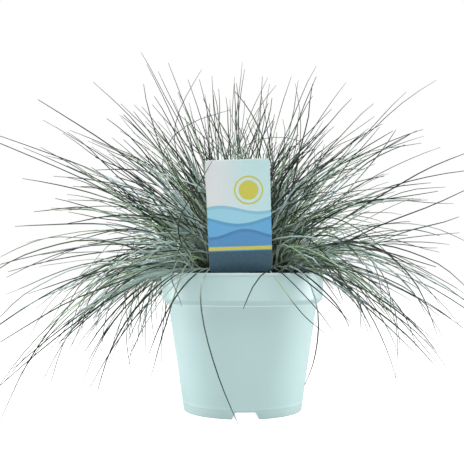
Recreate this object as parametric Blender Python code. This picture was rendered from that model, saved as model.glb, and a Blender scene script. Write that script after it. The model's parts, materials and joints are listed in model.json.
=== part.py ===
"""A potted blue fescue clump, as closed solids in metres, +Z up.

The origin is on the pot's axis at the level that its foot stands on. The label faces -Y.
"""

import math
import random

import bmesh
import bpy
from mathutils import Matrix, Vector
from mathutils.kdtree import KDTree

MM = 0.001
GAP = 0.3 * MM  # between pieces that touch

# Pot: a 17 cm moulded nursery pot with a deep collar and a notched foot
POT_HEIGHT = 142 * MM
RIM_RADIUS = 85.5 * MM
COLLAR_FOOT_RADIUS = 84.3 * MM
COLLAR_DEPTH = 27 * MM
STEP_DEPTH = 32 * MM
SHOULDER_RADIUS = 78 * MM
FOOT_RADIUS = 61.5 * MM
WALL = 1.5 * MM
BASE_LIFT = 8 * MM
NOTCH_COUNT = 3
NOTCH_HEIGHT = 7.2 * MM
NOTCH_BOTTOM_WIDTH = 27 * MM
NOTCH_TOP_WIDTH = 19 * MM
HOLE_COUNT = 6
HOLE_RADIUS = 4.5 * MM
HOLE_CIRCLE = 42 * MM
POT_SIDES = 48

# Soil and crown
HEADSPACE = 8 * MM
SOIL_Z = POT_HEIGHT - HEADSPACE
SOIL_SIDES = 32
CROWN_RADIUS = 58 * MM
CROWN_HEIGHT = 26 * MM
CROWN_SIDES = 28
CROWN_RINGS = 5

# Label: a rounded card with a stake that goes into the soil
CARD_WIDTH = 60.6 * MM
CARD_HEIGHT = 110 * MM
CARD_CORNER = 5 * MM
CARD_THICKNESS = 0.7 * MM
STAKE_WIDTH = 16 * MM
STAKE_LENGTH = 66 * MM
STAKE_POINT = 16 * MM
CARD_LEAN = math.radians(18)
CARD_ROLL = math.radians(-1.9)
CARD_FOOT = Vector((-1.2 * MM, -70 * MM, POT_HEIGHT + 0.8 * MM))

# Tillers: the shoots of the clump, each a sheath with five leaves
SEED = 9
LEAVES = 5
SHEATH_LENGTH = 12 * MM
SHEATH_RADIUS = 3 * MM
LEAF_RADIUS = 1.25 * MM
LEAF_RINGS = (0.1, 0.3, 0.53, 0.77)  # where along a leaf its sections lie
FAN = 11  # degrees between the sheath and its leaves
SWAY = 14  # degrees that a leaf may turn to either side along its length
CLEARANCE = 0.5 * MM
RIM_CLEARANCE = 1.2 * MM
SAMPLES = 48
SPACING = 5 * MM
TRIES = 300

# One row for each ring of tillers: count, root radius, rise above the horizon in degrees, sag
# from root to tip in degrees, how late the sag comes, and leaf length
RINGS = (
    (1, 0 * MM, 86, 10, 1.3, 226 * MM),
    (6, 13 * MM, 76, 14, 1.3, 222 * MM),
    (9, 26 * MM, 63, 22, 1.2, 238 * MM),
    (11, 38 * MM, 50, 36, 1.0, 248 * MM),
    (10, 46 * MM, 40, 56, 0.9, 262 * MM),
    (11, 52 * MM, 32, 96, 0.68, 286 * MM),
)
LABEL_SECTOR = 36  # degrees either side of the label where no low tiller grows
DEPTH_LOSS = 0.18  # how much shorter the leaves are to the front and back
REACH_X = 276 * MM  # how far the widest leaves reach from the axis, to both sides
REACH_Y = 222 * MM  # and to the front and back
FLOOR_CLEARANCE = 9 * MM

# Single leaves near the label, that cross the pot's front or the card: azimuth, root radius,
# rise, sag, how late the sag comes, length, and turn to the side along the length
STRAYS = (
    (-116, 46 * MM, 36, 105, 0.30, 197 * MM, 213),
    (-61, 52 * MM, 20, 93, 1.80, 158 * MM, -246),
    (-66, 48 * MM, 44, 101, 0.30, 109 * MM, 91),
    (-52, 54 * MM, 59, 198, 0.50, 152 * MM, -20),
    (-121, 46 * MM, 25, 95, 0.47, 128 * MM, -24),
    (-128, 51 * MM, 30, -29, 1.00, 143 * MM, 204),
)
STRAY_RADIUS = 1.6 * MM


def clear_scene():
    for thing in list(bpy.data.objects):
        bpy.data.objects.remove(thing)


def material(name, colour, roughness, metallic=0.0):
    made = bpy.data.materials.new(name)
    made.use_nodes = True
    shader = made.node_tree.nodes["Principled BSDF"]
    shader.inputs["Base Color"].default_value = (*colour, 1.0)
    shader.inputs["Roughness"].default_value = roughness
    shader.inputs["Metallic"].default_value = metallic
    return made


def add_object(name, bm, finish=None):
    mesh = bpy.data.meshes.new(name)
    bm.to_mesh(mesh)
    bm.free()
    made = bpy.data.objects.new(name, mesh)
    bpy.context.scene.collection.objects.link(made)
    if finish:
        mesh.materials.append(finish)
    return made


def turned(profile, sides):
    """A solid of revolution about Z from a profile of (radius, z) that starts and ends on the axis."""
    bm = bmesh.new()
    points = [bm.verts.new((r, 0, z)) for r, z in profile]
    edges = [bm.edges.new(pair) for pair in zip(points, points[1:])]
    bmesh.ops.spin(
        bm,
        geom=points + edges,
        cent=(0, 0, 0),
        axis=(0, 0, 1),
        angle=math.tau,
        steps=sides,
        use_merge=True,
    )
    bmesh.ops.remove_doubles(bm, verts=bm.verts, dist=0.01 * MM)
    bmesh.ops.recalc_face_normals(bm, faces=bm.faces)
    return bm


def smooth(thing, angle=35):
    thing.data.shade_smooth()
    thing.data.set_sharp_from_angle(angle=math.radians(angle))


def cutter(name, bm):
    made = add_object(name, bm)
    made.hide_render = True
    made.display_type = "WIRE"
    return made


def cut(thing, tool):
    modifier = thing.modifiers.new(tool.name, "BOOLEAN")
    modifier.operation = "DIFFERENCE"
    modifier.solver = "EXACT"
    modifier.object = tool


def outer_radius(z):
    """The pot body's outer radius at a height under the collar."""
    share = z / (POT_HEIGHT - STEP_DEPTH)
    return FOOT_RADIUS + (SHOULDER_RADIUS - FOOT_RADIUS) * share


def pot_radius(z):
    """The pot's outer radius at any height, the collar's as its widest."""
    return RIM_RADIUS if z > POT_HEIGHT - STEP_DEPTH else outer_radius(z)


def pot_profile():
    """Underside, foot, outer wall, collar and rim, then down the inside to the base."""
    body_top = POT_HEIGHT - STEP_DEPTH
    collar_foot = POT_HEIGHT - COLLAR_DEPTH
    base_top = BASE_LIFT + WALL
    bead = 3 * MM  # the thicker lip along the top of the rim
    edge = 0.5 * MM
    return [
        (0, BASE_LIFT),
        (outer_radius(BASE_LIFT) - 2 * WALL, BASE_LIFT),
        (FOOT_RADIUS - 2 * WALL, 0),
        (FOOT_RADIUS, 0),
        (outer_radius(BASE_LIFT), BASE_LIFT),
        (SHOULDER_RADIUS, body_top),
        (SHOULDER_RADIUS + 1.2 * MM, body_top + edge),
        (COLLAR_FOOT_RADIUS, collar_foot),
        (RIM_RADIUS - edge, POT_HEIGHT - bead),
        (RIM_RADIUS, POT_HEIGHT - bead + edge),
        (RIM_RADIUS, POT_HEIGHT - edge),
        (RIM_RADIUS - edge, POT_HEIGHT),
        (RIM_RADIUS - WALL - edge, POT_HEIGHT),
        (RIM_RADIUS - WALL - 2 * edge, POT_HEIGHT - bead),
        (COLLAR_FOOT_RADIUS - WALL, collar_foot),
        (SHOULDER_RADIUS - WALL, body_top),
        (outer_radius(base_top) - WALL, base_top),
        (0, base_top),
    ]


def notch_cutters():
    """Trapezoid prisms that open the foot to the outside at even angles, one of them at the front."""
    bm = bmesh.new()
    outline = (
        (-NOTCH_BOTTOM_WIDTH / 2 - 1 * MM, -2 * MM),
        (NOTCH_BOTTOM_WIDTH / 2 + 1 * MM, -2 * MM),
        (NOTCH_TOP_WIDTH / 2, NOTCH_HEIGHT),
        (-NOTCH_TOP_WIDTH / 2, NOTCH_HEIGHT),
    )
    inner = FOOT_RADIUS - 16 * MM
    for i in range(NOTCH_COUNT):
        turn = Matrix.Rotation(math.tau * i / NOTCH_COUNT + math.radians(2.7), 3, "Z")
        face = bm.faces.new([bm.verts.new(turn @ Vector((x, -inner, z))) for x, z in outline])
        pushed = bmesh.ops.extrude_face_region(bm, geom=[face])["geom"]
        moved = [g for g in pushed if isinstance(g, bmesh.types.BMVert)]
        bmesh.ops.translate(bm, verts=moved, vec=turn @ Vector((0, -30 * MM, 0)))
    bmesh.ops.recalc_face_normals(bm, faces=bm.faces)
    return cutter("foot_notch_cutters", bm)


def hole_cutters():
    """Upright cylinders through the base for its drainage holes."""
    bm = bmesh.new()
    for i in range(HOLE_COUNT):
        angle = math.tau * (i + 0.5) / HOLE_COUNT
        place = Vector((math.cos(angle), math.sin(angle), 0)) * HOLE_CIRCLE
        place.z = BASE_LIFT + WALL / 2
        bmesh.ops.create_cone(
            bm,
            cap_ends=True,
            segments=10,
            radius1=HOLE_RADIUS,
            radius2=HOLE_RADIUS,
            depth=4 * WALL,
            matrix=Matrix.Translation(place),
        )
    return cutter("drainage_hole_cutters", bm)


def make_pot():
    finish = material("pale aqua moulded plastic", (0.52, 0.70, 0.70), 0.42)
    pot = add_object("pot", turned(pot_profile(), POT_SIDES), finish)
    cut(pot, notch_cutters())
    cut(pot, hole_cutters())
    smooth(pot)


def make_soil():
    """The root ball: it fills the pot to the headspace, with low lumps outside the crown."""
    finish = material("damp dark potting soil", (0.035, 0.024, 0.017), 0.95)
    body_top = POT_HEIGHT - STEP_DEPTH
    collar_foot = POT_HEIGHT - COLLAR_DEPTH
    room = WALL + GAP + 0.35 * MM  # the facets of the wall lie a little inside its circle
    base = BASE_LIFT + WALL + GAP
    rise = (SOIL_Z - collar_foot) / COLLAR_DEPTH
    collar_radius = COLLAR_FOOT_RADIUS + (RIM_RADIUS - COLLAR_FOOT_RADIUS) * rise
    flat = CROWN_RADIUS + 1 * MM
    bm = turned(
        [
            (0, base),
            (outer_radius(base) - room, base),
            (SHOULDER_RADIUS - room, body_top),
            (COLLAR_FOOT_RADIUS - room, collar_foot),
            (collar_radius - room - 1.5 * MM, SOIL_Z - 2 * MM),
            (flat + 12 * MM, SOIL_Z),
            (flat, SOIL_Z),
            (0, SOIL_Z),
        ],
        SOIL_SIDES,
    )
    for v in bm.verts:
        radius = math.hypot(v.co.x, v.co.y)
        if v.co.z > SOIL_Z - 3 * MM and radius > flat + 0.5 * MM:
            angle = math.atan2(v.co.y, v.co.x)
            v.co.z += (math.sin(5 * angle) + math.sin(11 * angle + radius / MM)) * 0.9 * MM
    soil = add_object("potting_soil", bm, finish)
    socket = cutter("stake_socket_cutter", label_mesh(grow=GAP))
    socket.matrix_world = label_place()
    cut(soil, socket)
    smooth(soil, 50)


def label_outline(grow):
    """The card's rounded outline and its pointed stake, anticlockwise from the stake's tip."""
    half, stake = CARD_WIDTH / 2, STAKE_WIDTH / 2 + grow
    points = [
        (0, -STAKE_LENGTH - grow),
        (stake, -STAKE_LENGTH + STAKE_POINT),
        (stake, 0),
    ]
    steps = 4
    for cx, cz, start in (
        (half, 0, -90),
        (half, CARD_HEIGHT, 0),
        (-half, CARD_HEIGHT, 90),
        (-half, 0, 180),
    ):
        inside_x = cx - math.copysign(CARD_CORNER, cx)
        inside_z = cz + (CARD_CORNER if cz == 0 else -CARD_CORNER)
        for i in range(steps):
            angle = math.radians(start + 90 * i / (steps - 1))
            x = inside_x + CARD_CORNER * math.cos(angle)
            points.append((x, inside_z + CARD_CORNER * math.sin(angle)))
    return points + [(-stake, 0), (-stake, -STAKE_LENGTH + STAKE_POINT)]


def label_place():
    turn = Matrix.Rotation(CARD_LEAN, 4, "X") @ Matrix.Rotation(CARD_ROLL, 4, "Y")
    return Matrix.Translation(CARD_FOOT) @ turn


def label_mesh(grow=0.0):
    """The label upright at its card's foot; grow widens its stake and thickness, for its socket."""
    bm = bmesh.new()
    half = CARD_THICKNESS / 2 + grow
    face = bm.faces.new([bm.verts.new((x, half, z)) for x, z in label_outline(grow)])
    pushed = bmesh.ops.extrude_face_region(bm, geom=[face])["geom"]
    moved = [g for g in pushed if isinstance(g, bmesh.types.BMVert)]
    bmesh.ops.translate(bm, verts=moved, vec=(0, -2 * half, 0))
    bmesh.ops.recalc_face_normals(bm, faces=bm.faces)
    return bm


def make_label():
    finish = material("printed plastic card", (0.55, 0.72, 0.78), 0.35)
    label = add_object("plant_label", label_mesh(), finish)
    label.matrix_world = label_place()


def crown_rise(radius):
    """The dome's height above its own flat underside."""
    return CROWN_HEIGHT * (1 - (radius / CROWN_RADIUS) ** 2)


def make_crown():
    """The low dome of old sheaths that the tillers grow from."""
    finish = material("dry straw sheaths", (0.16, 0.15, 0.09), 0.9)
    rings = [CROWN_RADIUS * i / CROWN_RINGS for i in range(CROWN_RINGS, 0, -1)]
    profile = [(0, 0), (CROWN_RADIUS, 0)]
    profile += [(r, crown_rise(r)) for r in rings[1:]]
    profile.append((0, crown_rise(0)))
    crown = add_object("crown", turned(profile, CROWN_SIDES), finish)
    crown.location.z = SOIL_Z + GAP
    smooth(crown, 60)


def heading(azimuth, rise):
    flat = math.cos(rise)
    return Vector((flat * math.cos(azimuth), flat * math.sin(azimuth), math.sin(rise)))


def leaf_route(start, direction, sag, late, length, sway):
    """Points from a leaf's root to its tip. Its slope falls by sag in all, the later the larger late is."""
    azimuth = math.atan2(direction.y, direction.x)
    rise = math.asin(max(-1.0, min(1.0, direction.z)))
    point = start.copy()
    route = [point.copy()]
    for i in range(SAMPLES):
        share = (i + 0.5) / SAMPLES
        towards = heading(azimuth + sway * share**2, rise - sag * share**late)
        point += towards * (length / SAMPLES)
        route.append(point.copy())
    return route


def leaf_knots(route):
    """The few points of a route that the solid leaf runs through in straight stretches."""
    return [route[round(share * SAMPLES)] for share in (0, *LEAF_RINGS, 1)]


def stretch_points(knots):
    """Points every few millimetres along the straight stretches between knots."""
    points = []
    for a, b in zip(knots, knots[1:]):
        steps = max(1, round((b - a).length / SPACING))
        points += [a.lerp(b, i / steps) for i in range(steps)]
    return points + [knots[-1]]


class Shoot:
    """A sheath at its place on the crown, and the knots of each of its leaves."""

    def __init__(self, azimuth, root_radius, rise, sides, radius):
        self.root = Vector((math.cos(azimuth), math.sin(azimuth), 0)) * root_radius
        self.root.z = SOIL_Z + 2 * GAP + crown_rise(root_radius)
        slope = 2 * CROWN_HEIGHT * root_radius / CROWN_RADIUS**2
        self.normal = Vector((slope * math.cos(azimuth), slope * math.sin(azimuth), 1))
        self.normal.normalize()
        self.axis = heading(azimuth, rise)
        self.top = self.root + self.axis * SHEATH_LENGTH
        self.turn = azimuth * 7
        self.sides = sides
        self.radius = radius
        self.leaves = []

    def around(self, step, axis):
        """A unit vector square to the sheath's normal or axis, step sides round it."""
        turn = Matrix.Rotation(self.turn + math.tau * step / self.sides, 3, self.normal)
        side = turn @ self.normal.orthogonal().normalized()
        return self.normal.rotation_difference(axis).to_matrix() @ side

    def samples(self):
        return [point for knots in self.leaves for point in stretch_points(knots)]

    def parted(self):
        """True if the shoot's own leaves keep clear of each other above their first stretch."""
        apart = 2 * LEAF_RADIUS + CLEARANCE
        for i, knots in enumerate(self.leaves):
            tree = kd_tree(stretch_points(knots[1:]))
            for other in self.leaves[i + 1 :]:
                if any(tree.find(point)[2] < apart for point in stretch_points(other[1:])):
                    return False
        return True

    def clear(self, tree):
        """True if no leaf meets the pot, soil, label or floor, or a leaf that is already placed."""
        to_card = label_place().inverted()
        margin = LEAF_RADIUS + RIM_CLEARANCE
        apart = 2 * LEAF_RADIUS + CLEARANCE + SPACING / 3
        for point in self.samples():
            radius = math.hypot(point.x, point.y)
            if abs(point.x) > REACH_X or abs(point.y) > REACH_Y or point.z < FLOOR_CLEARANCE:
                return False
            if point.z < POT_HEIGHT + margin and radius < pot_radius(point.z) + margin:
                in_headspace = radius < COLLAR_FOOT_RADIUS - 2 * WALL - margin
                if not in_headspace or point.z < SOIL_Z + 2 * margin:
                    return False
            flat = to_card @ point
            beside = abs(flat.x) > CARD_WIDTH / 2 + margin or flat.z > CARD_HEIGHT + margin
            if not beside and -margin < flat.z and abs(flat.y) < margin:
                return False
            if tree.find_range(point, apart):
                return False
        return True


def kd_tree(points):
    tree = KDTree(max(1, len(points)))
    for i, point in enumerate(points):
        tree.insert(point, i)
    tree.balance()
    return tree


def grown_tiller(azimuth, root_radius, rise, sag, late, length, chance):
    """A shoot of several leaves that fan out from its sheath."""
    shoot = Shoot(azimuth, root_radius, rise, LEAVES, SHEATH_RADIUS)
    for i in range(LEAVES):
        out = shoot.around(i + 0.5, shoot.axis)
        direction = shoot.axis + out * math.tan(math.radians(FAN * chance.uniform(0.7, 1.3)))
        route = leaf_route(
            start=shoot.top + out * SHEATH_RADIUS * 0.62,
            direction=direction.normalized(),
            sag=sag * (1 - 0.12 * out.z) * chance.uniform(0.92, 1.08),
            late=late,
            length=length * chance.uniform(0.82, 1.0),
            sway=math.radians(chance.uniform(-SWAY, SWAY)),
        )
        shoot.leaves.append(leaf_knots(route))
    return shoot


def grown_stray(azimuth, root_radius, rise, sag, late, length, sway):
    """A shoot of one leaf."""
    shoot = Shoot(math.radians(azimuth), root_radius, math.radians(rise), 3, STRAY_RADIUS)
    route = leaf_route(
        start=shoot.top,
        direction=shoot.axis,
        sag=math.radians(sag),
        late=late,
        length=length,
        sway=math.radians(sway),
    )
    shoot.leaves.append(leaf_knots(route))
    return shoot


def in_label_sector(azimuth):
    off = (azimuth + math.pi / 2 + math.pi) % math.tau - math.pi
    return abs(off) < math.radians(LABEL_SECTOR)


def grown_tillers(placed):
    """Tillers ring by ring, each with small chances in its place and bend until it is clear of the rest."""
    chance = random.Random(SEED)
    tillers = []
    for ring, (count, root_radius, rise, sag, late, length) in enumerate(RINGS):
        low = ring >= 3
        spread = math.tau - (2 * math.radians(LABEL_SECTOR) if low else 0)
        for i in range(count):
            share = (i + 1) / (count + 1) if ring % 2 else (i + 0.5) / count
            middle = math.pi / 2 + spread * (share - 0.5)
            tree = kd_tree(placed)
            for attempt in range(TRIES):
                loose = 1 + attempt / 60
                azimuth = middle + math.radians(chance.uniform(-5, 5) * loose)
                lift = math.radians(rise + chance.uniform(-4, 4) * loose)
                bend = math.radians(sag + chance.uniform(-6, 6) * loose)
                if low and in_label_sector(azimuth):
                    continue
                size = length * (1 - DEPTH_LOSS * math.sin(azimuth) ** 2) * (1 - 0.12 * attempt / TRIES)
                tiller = grown_tiller(azimuth, root_radius, lift, bend, late, size, chance)
                if tiller.parted() and tiller.clear(tree):
                    tillers.append(tiller)
                    placed += tiller.samples()
                    break
            else:
                print("no room for tiller", i, "of ring", ring)
    return tillers


def leaf_radius(share):
    return LEAF_RADIUS * (1 - 0.55 * share)


def leaf_ring(bm, corners, middle, centre, turn, radius):
    """A leaf's three-sided section: its root triangle turned with the leaf and drawn in."""
    reach = max((corner - middle).length for corner in corners)
    return [
        bm.verts.new(centre + turn @ (corner - middle) * (radius / reach)) for corner in corners
    ]


def extrude_leaf(bm, corner_verts, axis, knots):
    """Grows one leaf out of a triangle of the sheath's top, ring by ring, to its tip."""
    corners = [v.co.copy() for v in corner_verts]
    middle = sum(corners, Vector()) / 3
    below = corner_verts
    for i, share in enumerate(LEAF_RINGS, start=1):
        along = (knots[i + 1] - knots[i - 1]).normalized()
        turn = axis.rotation_difference(along).to_matrix()
        ring = leaf_ring(bm, corners, middle, knots[i], turn, leaf_radius(share))
        for k in range(3):
            bm.faces.new((below[k], below[(k + 1) % 3], ring[(k + 1) % 3], ring[k]))
        below = ring
    tip = bm.verts.new(knots[-1])
    for k in range(3):
        bm.faces.new((below[k], below[(k + 1) % 3], tip))


def shoot_mesh(shoot):
    """A many-sided sheath whose top parts into its leaves, as one closed surface from its root."""
    bm = bmesh.new()
    bottom = []
    top = []
    for i in range(shoot.sides):
        low = shoot.root + shoot.around(i, shoot.normal) * shoot.radius
        high = shoot.top + shoot.around(i, shoot.axis) * shoot.radius * 0.95
        bottom.append(bm.verts.new(low))
        top.append(bm.verts.new(high))
    bm.faces.new(list(reversed(bottom)))
    for i in range(shoot.sides):
        k = (i + 1) % shoot.sides
        bm.faces.new((bottom[i], bottom[k], top[k], top[i]))
    if len(shoot.leaves) == 1:
        extrude_leaf(bm, top, shoot.axis, shoot.leaves[0])
    else:
        heart = bm.verts.new(shoot.top + shoot.axis * 0.5 * MM)
        for i, knots in enumerate(shoot.leaves):
            corners = [heart, top[i], top[(i + 1) % shoot.sides]]
            extrude_leaf(bm, corners, shoot.axis, knots)
    bmesh.ops.triangulate(bm, faces=bm.faces)
    bmesh.ops.translate(bm, verts=bm.verts, vec=-shoot.root)
    return bm


def make_shoots():
    finish = material("glaucous fescue leaf", (0.23, 0.31, 0.29), 0.6)
    placed = []
    for number, row in enumerate(STRAYS, start=1):
        stray = grown_stray(*row)
        if not stray.clear(kd_tree(placed)):
            print("stray leaf", number, "meets something")
        placed += stray.samples()
        made = add_object(f"stray_leaf_{number}", shoot_mesh(stray), finish)
        made.location = stray.root
    for number, tiller in enumerate(grown_tillers(placed), start=1):
        made = add_object(f"tiller_{number:02d}", shoot_mesh(tiller), finish)
        made.location = tiller.root


def gather(name):
    """Parents every piece to one empty at the origin."""
    holder = bpy.data.objects.new(name, None)
    bpy.context.scene.collection.objects.link(holder)
    for thing in bpy.context.scene.objects:
        if thing is not holder:
            thing.parent = holder


def main():
    clear_scene()
    make_pot()
    make_soil()
    make_label()
    make_crown()
    make_shoots()
    gather("potted_fescue_clump")


main()
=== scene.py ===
# %% [markdown]
# # A potted blue fescue clump
#
# The plant is a tuft of fine blue-grey needle grass in a pale aqua nursery pot, with a card on a
# stake beside it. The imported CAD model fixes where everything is. This file grows the real number
# of leaves round the CAD model's few, rounds the pot, roughens the soil and gives every piece its
# finish.
#
# Lengths are in metres, so a value in millimetres is written as a number times MM.

import json
import math

import bmesh
import bpy
from mathutils import Matrix, Vector, noise

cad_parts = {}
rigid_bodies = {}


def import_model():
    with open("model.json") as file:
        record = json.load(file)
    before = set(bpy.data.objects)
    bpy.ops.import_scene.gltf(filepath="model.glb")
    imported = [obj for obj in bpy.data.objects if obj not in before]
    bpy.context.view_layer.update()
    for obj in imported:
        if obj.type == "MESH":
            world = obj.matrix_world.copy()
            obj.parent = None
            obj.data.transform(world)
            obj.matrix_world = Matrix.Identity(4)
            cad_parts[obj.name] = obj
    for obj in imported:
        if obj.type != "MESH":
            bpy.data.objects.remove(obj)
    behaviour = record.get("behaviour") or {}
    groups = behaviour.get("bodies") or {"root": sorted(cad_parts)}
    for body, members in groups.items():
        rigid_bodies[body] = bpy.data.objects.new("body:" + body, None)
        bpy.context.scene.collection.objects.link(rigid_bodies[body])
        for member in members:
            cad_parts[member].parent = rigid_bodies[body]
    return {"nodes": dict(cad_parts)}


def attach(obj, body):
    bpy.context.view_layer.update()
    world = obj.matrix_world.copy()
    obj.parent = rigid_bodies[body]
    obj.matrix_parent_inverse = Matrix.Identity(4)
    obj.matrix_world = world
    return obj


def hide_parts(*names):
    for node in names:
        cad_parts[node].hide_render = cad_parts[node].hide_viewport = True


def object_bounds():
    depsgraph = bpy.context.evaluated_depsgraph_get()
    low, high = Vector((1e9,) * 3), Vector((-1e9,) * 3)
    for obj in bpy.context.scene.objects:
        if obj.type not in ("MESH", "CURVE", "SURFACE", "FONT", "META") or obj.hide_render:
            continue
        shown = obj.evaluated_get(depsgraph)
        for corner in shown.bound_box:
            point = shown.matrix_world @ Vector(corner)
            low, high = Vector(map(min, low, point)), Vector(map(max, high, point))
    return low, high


MM = 0.001
for thing in list(bpy.data.objects):
    bpy.data.objects.remove(thing)
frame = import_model()
cad_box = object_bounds()


def in_mm(lengths):
    return [round(length / MM, 1) for length in lengths]


print("CAD nodes:", len(frame["nodes"]), "box in mm:", [in_mm(corner) for corner in cad_box])

# %% [markdown]
# ## The camera
#
# The picture was taken straight at the pot's rim: its front and back edges fall on one line. So the
# camera stands at the rim's height. It is turned up a little to place the pot low in the picture,
# because other views keep a lens shift but set their own direction.

# %% Camera
PICTURE_WIDTH = 464  # pixels
FOCAL_PIXELS = 754  # the focal length in pixels of the picture
SENSOR_WIDTH = 36
CAMERA_PLACE = Vector((0, -0.80, 0.142))
CAMERA_TILT = math.radians(93.11)
CAMERA_TURN = math.radians(0.79)


def new_object(name, data):
    """A new object that is linked to the scene."""
    made = bpy.data.objects.new(name, data)
    bpy.context.scene.collection.objects.link(made)
    return made


camera = new_object("camera", bpy.data.cameras.new("camera"))
camera.data.sensor_width = SENSOR_WIDTH
camera.data.lens = FOCAL_PIXELS / PICTURE_WIDTH * SENSOR_WIDTH
camera.data.clip_start = 0.01
camera.location = CAMERA_PLACE
camera.rotation_euler = (CAMERA_TILT, 0, CAMERA_TURN)
bpy.context.scene.camera = camera
print("camera lens in mm:", round(camera.data.lens, 2))

# %% [markdown]
# ## Helpers for node trees
#
# Shader trees and geometry trees are built alike: add a node, set its options, then link or set its
# inputs. One helper does all three, so that each tree below reads as a list of steps. A node given
# as an input stands for its first output that is switched on.

# %% Node helpers: add and feed
def first_output(value):
    if isinstance(value, bpy.types.Node):
        return next(s for s in value.outputs if s.enabled)
    return value


def feed(tree, node, name, value):
    """Links or sets one input, by its name or its number among those that are switched on."""
    usable = [s for s in node.inputs if s.enabled]
    socket = usable[name] if isinstance(name, int) else next(s for s in usable if s.name == name)
    value = first_output(value)
    if isinstance(value, bpy.types.NodeSocket):
        tree.links.new(value, socket)
    else:
        socket.default_value = value


def add(tree, kind, inputs=None, **options):
    """Adds a node, sets its options and feeds its inputs."""
    made = tree.nodes.new(kind)
    for name, value in options.items():
        setattr(made, name, value)
    for name, value in (inputs or {}).items():
        feed(tree, made, name, value)
    return made


KINDS = {float: "Float", int: "Int", bool: "Bool"}


def new_tree(name, kind, takes, gives):
    """A node group, what it is given, and its output node.

    Each input comes with the value that it starts with, or with its kind if it has no such value.
    """
    tree = bpy.data.node_groups.new(name, kind)
    for way, sockets in (("INPUT", takes), ("OUTPUT", gives)):
        for socket_name, start in sockets.items():
            socket_kind = "NodeSocket" + KINDS.get(type(start), start)
            socket = tree.interface.new_socket(socket_name, in_out=way, socket_type=socket_kind)
            if type(start) in KINDS:
                socket.default_value = start
    return tree, tree.nodes.new("NodeGroupInput").outputs, tree.nodes.new("NodeGroupOutput")


# %% Node helpers: sums and vectors
def maths(tree, operation, *values, clamp=False):
    inputs = dict(enumerate(values))
    return add(tree, "ShaderNodeMath", inputs, operation=operation, use_clamp=clamp)


def product(tree, first, *others):
    for other in others:
        first = maths(tree, "MULTIPLY", first, other)
    return first


def vector_maths(tree, operation, *values):
    return add(tree, "ShaderNodeVectorMath", dict(enumerate(values)), operation=operation)


def split(tree, vector):
    """The X, Y and Z of a vector."""
    outputs = add(tree, "ShaderNodeSeparateXYZ", {"Vector": vector}).outputs
    return outputs["X"], outputs["Y"], outputs["Z"]


def joined(tree, x=0.0, y=0.0, z=0.0):
    return add(tree, "ShaderNodeCombineXYZ", {"X": x, "Y": y, "Z": z})


def from_axis(tree, x, y):
    """How far a place is from the pot's axis."""
    return vector_maths(tree, "LENGTH", joined(tree, x, y)).outputs["Value"]


# %% [markdown]
# ## Two effects that several finishes share
#
# Nothing that is moulded, grown or dug is one even colour. The first group gives cloudy patches,
# and the second a fine grain for a Bump node. Both read Object coordinates, which are metres here,
# so a patch size is a real size.

# %% Shader group: cloudy patches
patches, given, result = new_tree(
    "cloudy patches", "ShaderNodeTree", {"Size": 0.03, "Contrast": 1.0}, {"Mask": "Float"}
)
place = add(patches, "ShaderNodeTexCoord").outputs["Object"]
frequency = maths(patches, "DIVIDE", 1.0, given["Size"])
cloud = add(patches, "ShaderNodeTexNoise", {"Vector": place, "Scale": frequency, "Detail": 3.0})
spread = product(patches, maths(patches, "SUBTRACT", cloud, 0.5), given["Contrast"])
feed(patches, result, "Mask", maths(patches, "ADD", spread, 0.5, clamp=True))
print("cloudy patches:", len(patches.nodes), "nodes")

# %% Shader group: fine grain
grain, given, result = new_tree(
    "fine grain", "ShaderNodeTree", {"Size": 0.0006, "Roundness": 0.5}, {"Height": "Float"}
)
place = add(grain, "ShaderNodeTexCoord").outputs["Object"]
frequency = maths(grain, "DIVIDE", 1.0, given["Size"])
fine = add(grain, "ShaderNodeTexNoise", {"Vector": place, "Scale": frequency, "Detail": 2.0})
cells = add(grain, "ShaderNodeTexVoronoi", {"Vector": place, "Scale": frequency})
mix = {"Factor": given["Roundness"], "A": fine, "B": cells.outputs["Distance"]}
feed(grain, result, "Height", add(grain, "ShaderNodeMix", mix))
print("fine grain:", len(grain.nodes), "nodes")


# %% Helpers for materials
def new_material(name, roughness, specular=0.5):
    made = bpy.data.materials.new(name)
    made.use_nodes = True
    shader = made.node_tree.nodes["Principled BSDF"]
    shader.inputs["Roughness"].default_value = roughness
    shader.inputs["Specular IOR Level"].default_value = specular
    return made, made.node_tree, shader


def add_group(tree, group, **values):
    return add(tree, "ShaderNodeGroup", values, node_tree=group)


def mixed(tree, factor, a, b):
    """A colour mix. Three numbers stand for an opaque colour."""
    a, b = ((*v, 1.0) if isinstance(v, tuple) and len(v) == 3 else v for v in (a, b))
    return add(tree, "ShaderNodeMix", {"Factor": factor, "A": a, "B": b}, data_type="RGBA")


def between(tree, value, low, high):
    """A soft mask that goes from 0 at low to 1 at high."""
    inputs = {"Value": value, "From Min": low, "From Max": high}
    return add(tree, "ShaderNodeMapRange", inputs, interpolation_type="SMOOTHSTEP")


def band(tree, value, middle, outer, inner):
    """A mask that is 1 within inner of the middle value, and 0 beyond outer."""
    off = maths(tree, "ABSOLUTE", maths(tree, "SUBTRACT", value, middle))
    return between(tree, off, outer, inner)


def add_bump(tree, shader, size, roundness, strength, depth):
    """A fine grain: its size, how round its bumps are, its strength and its depth."""
    height = add_group(tree, grain, Size=size, Roundness=roundness)
    bump = add(tree, "ShaderNodeBump", {"Height": height, "Strength": strength, "Distance": depth})
    tree.links.new(bump.outputs["Normal"], shader.inputs["Normal"])


def mottled(name, roughness, specular, patch, contrast, dark, pale, bump):
    """A finish of two tones in cloudy patches, with a fine grain."""
    made, tree, shader = new_material(name, roughness, specular)
    tones = add_group(tree, patches, Size=patch, Contrast=contrast)
    feed(tree, shader, "Base Color", mixed(tree, tones, dark, pale))
    add_bump(tree, shader, *bump)
    print("finish:", name)
    return made


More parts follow.
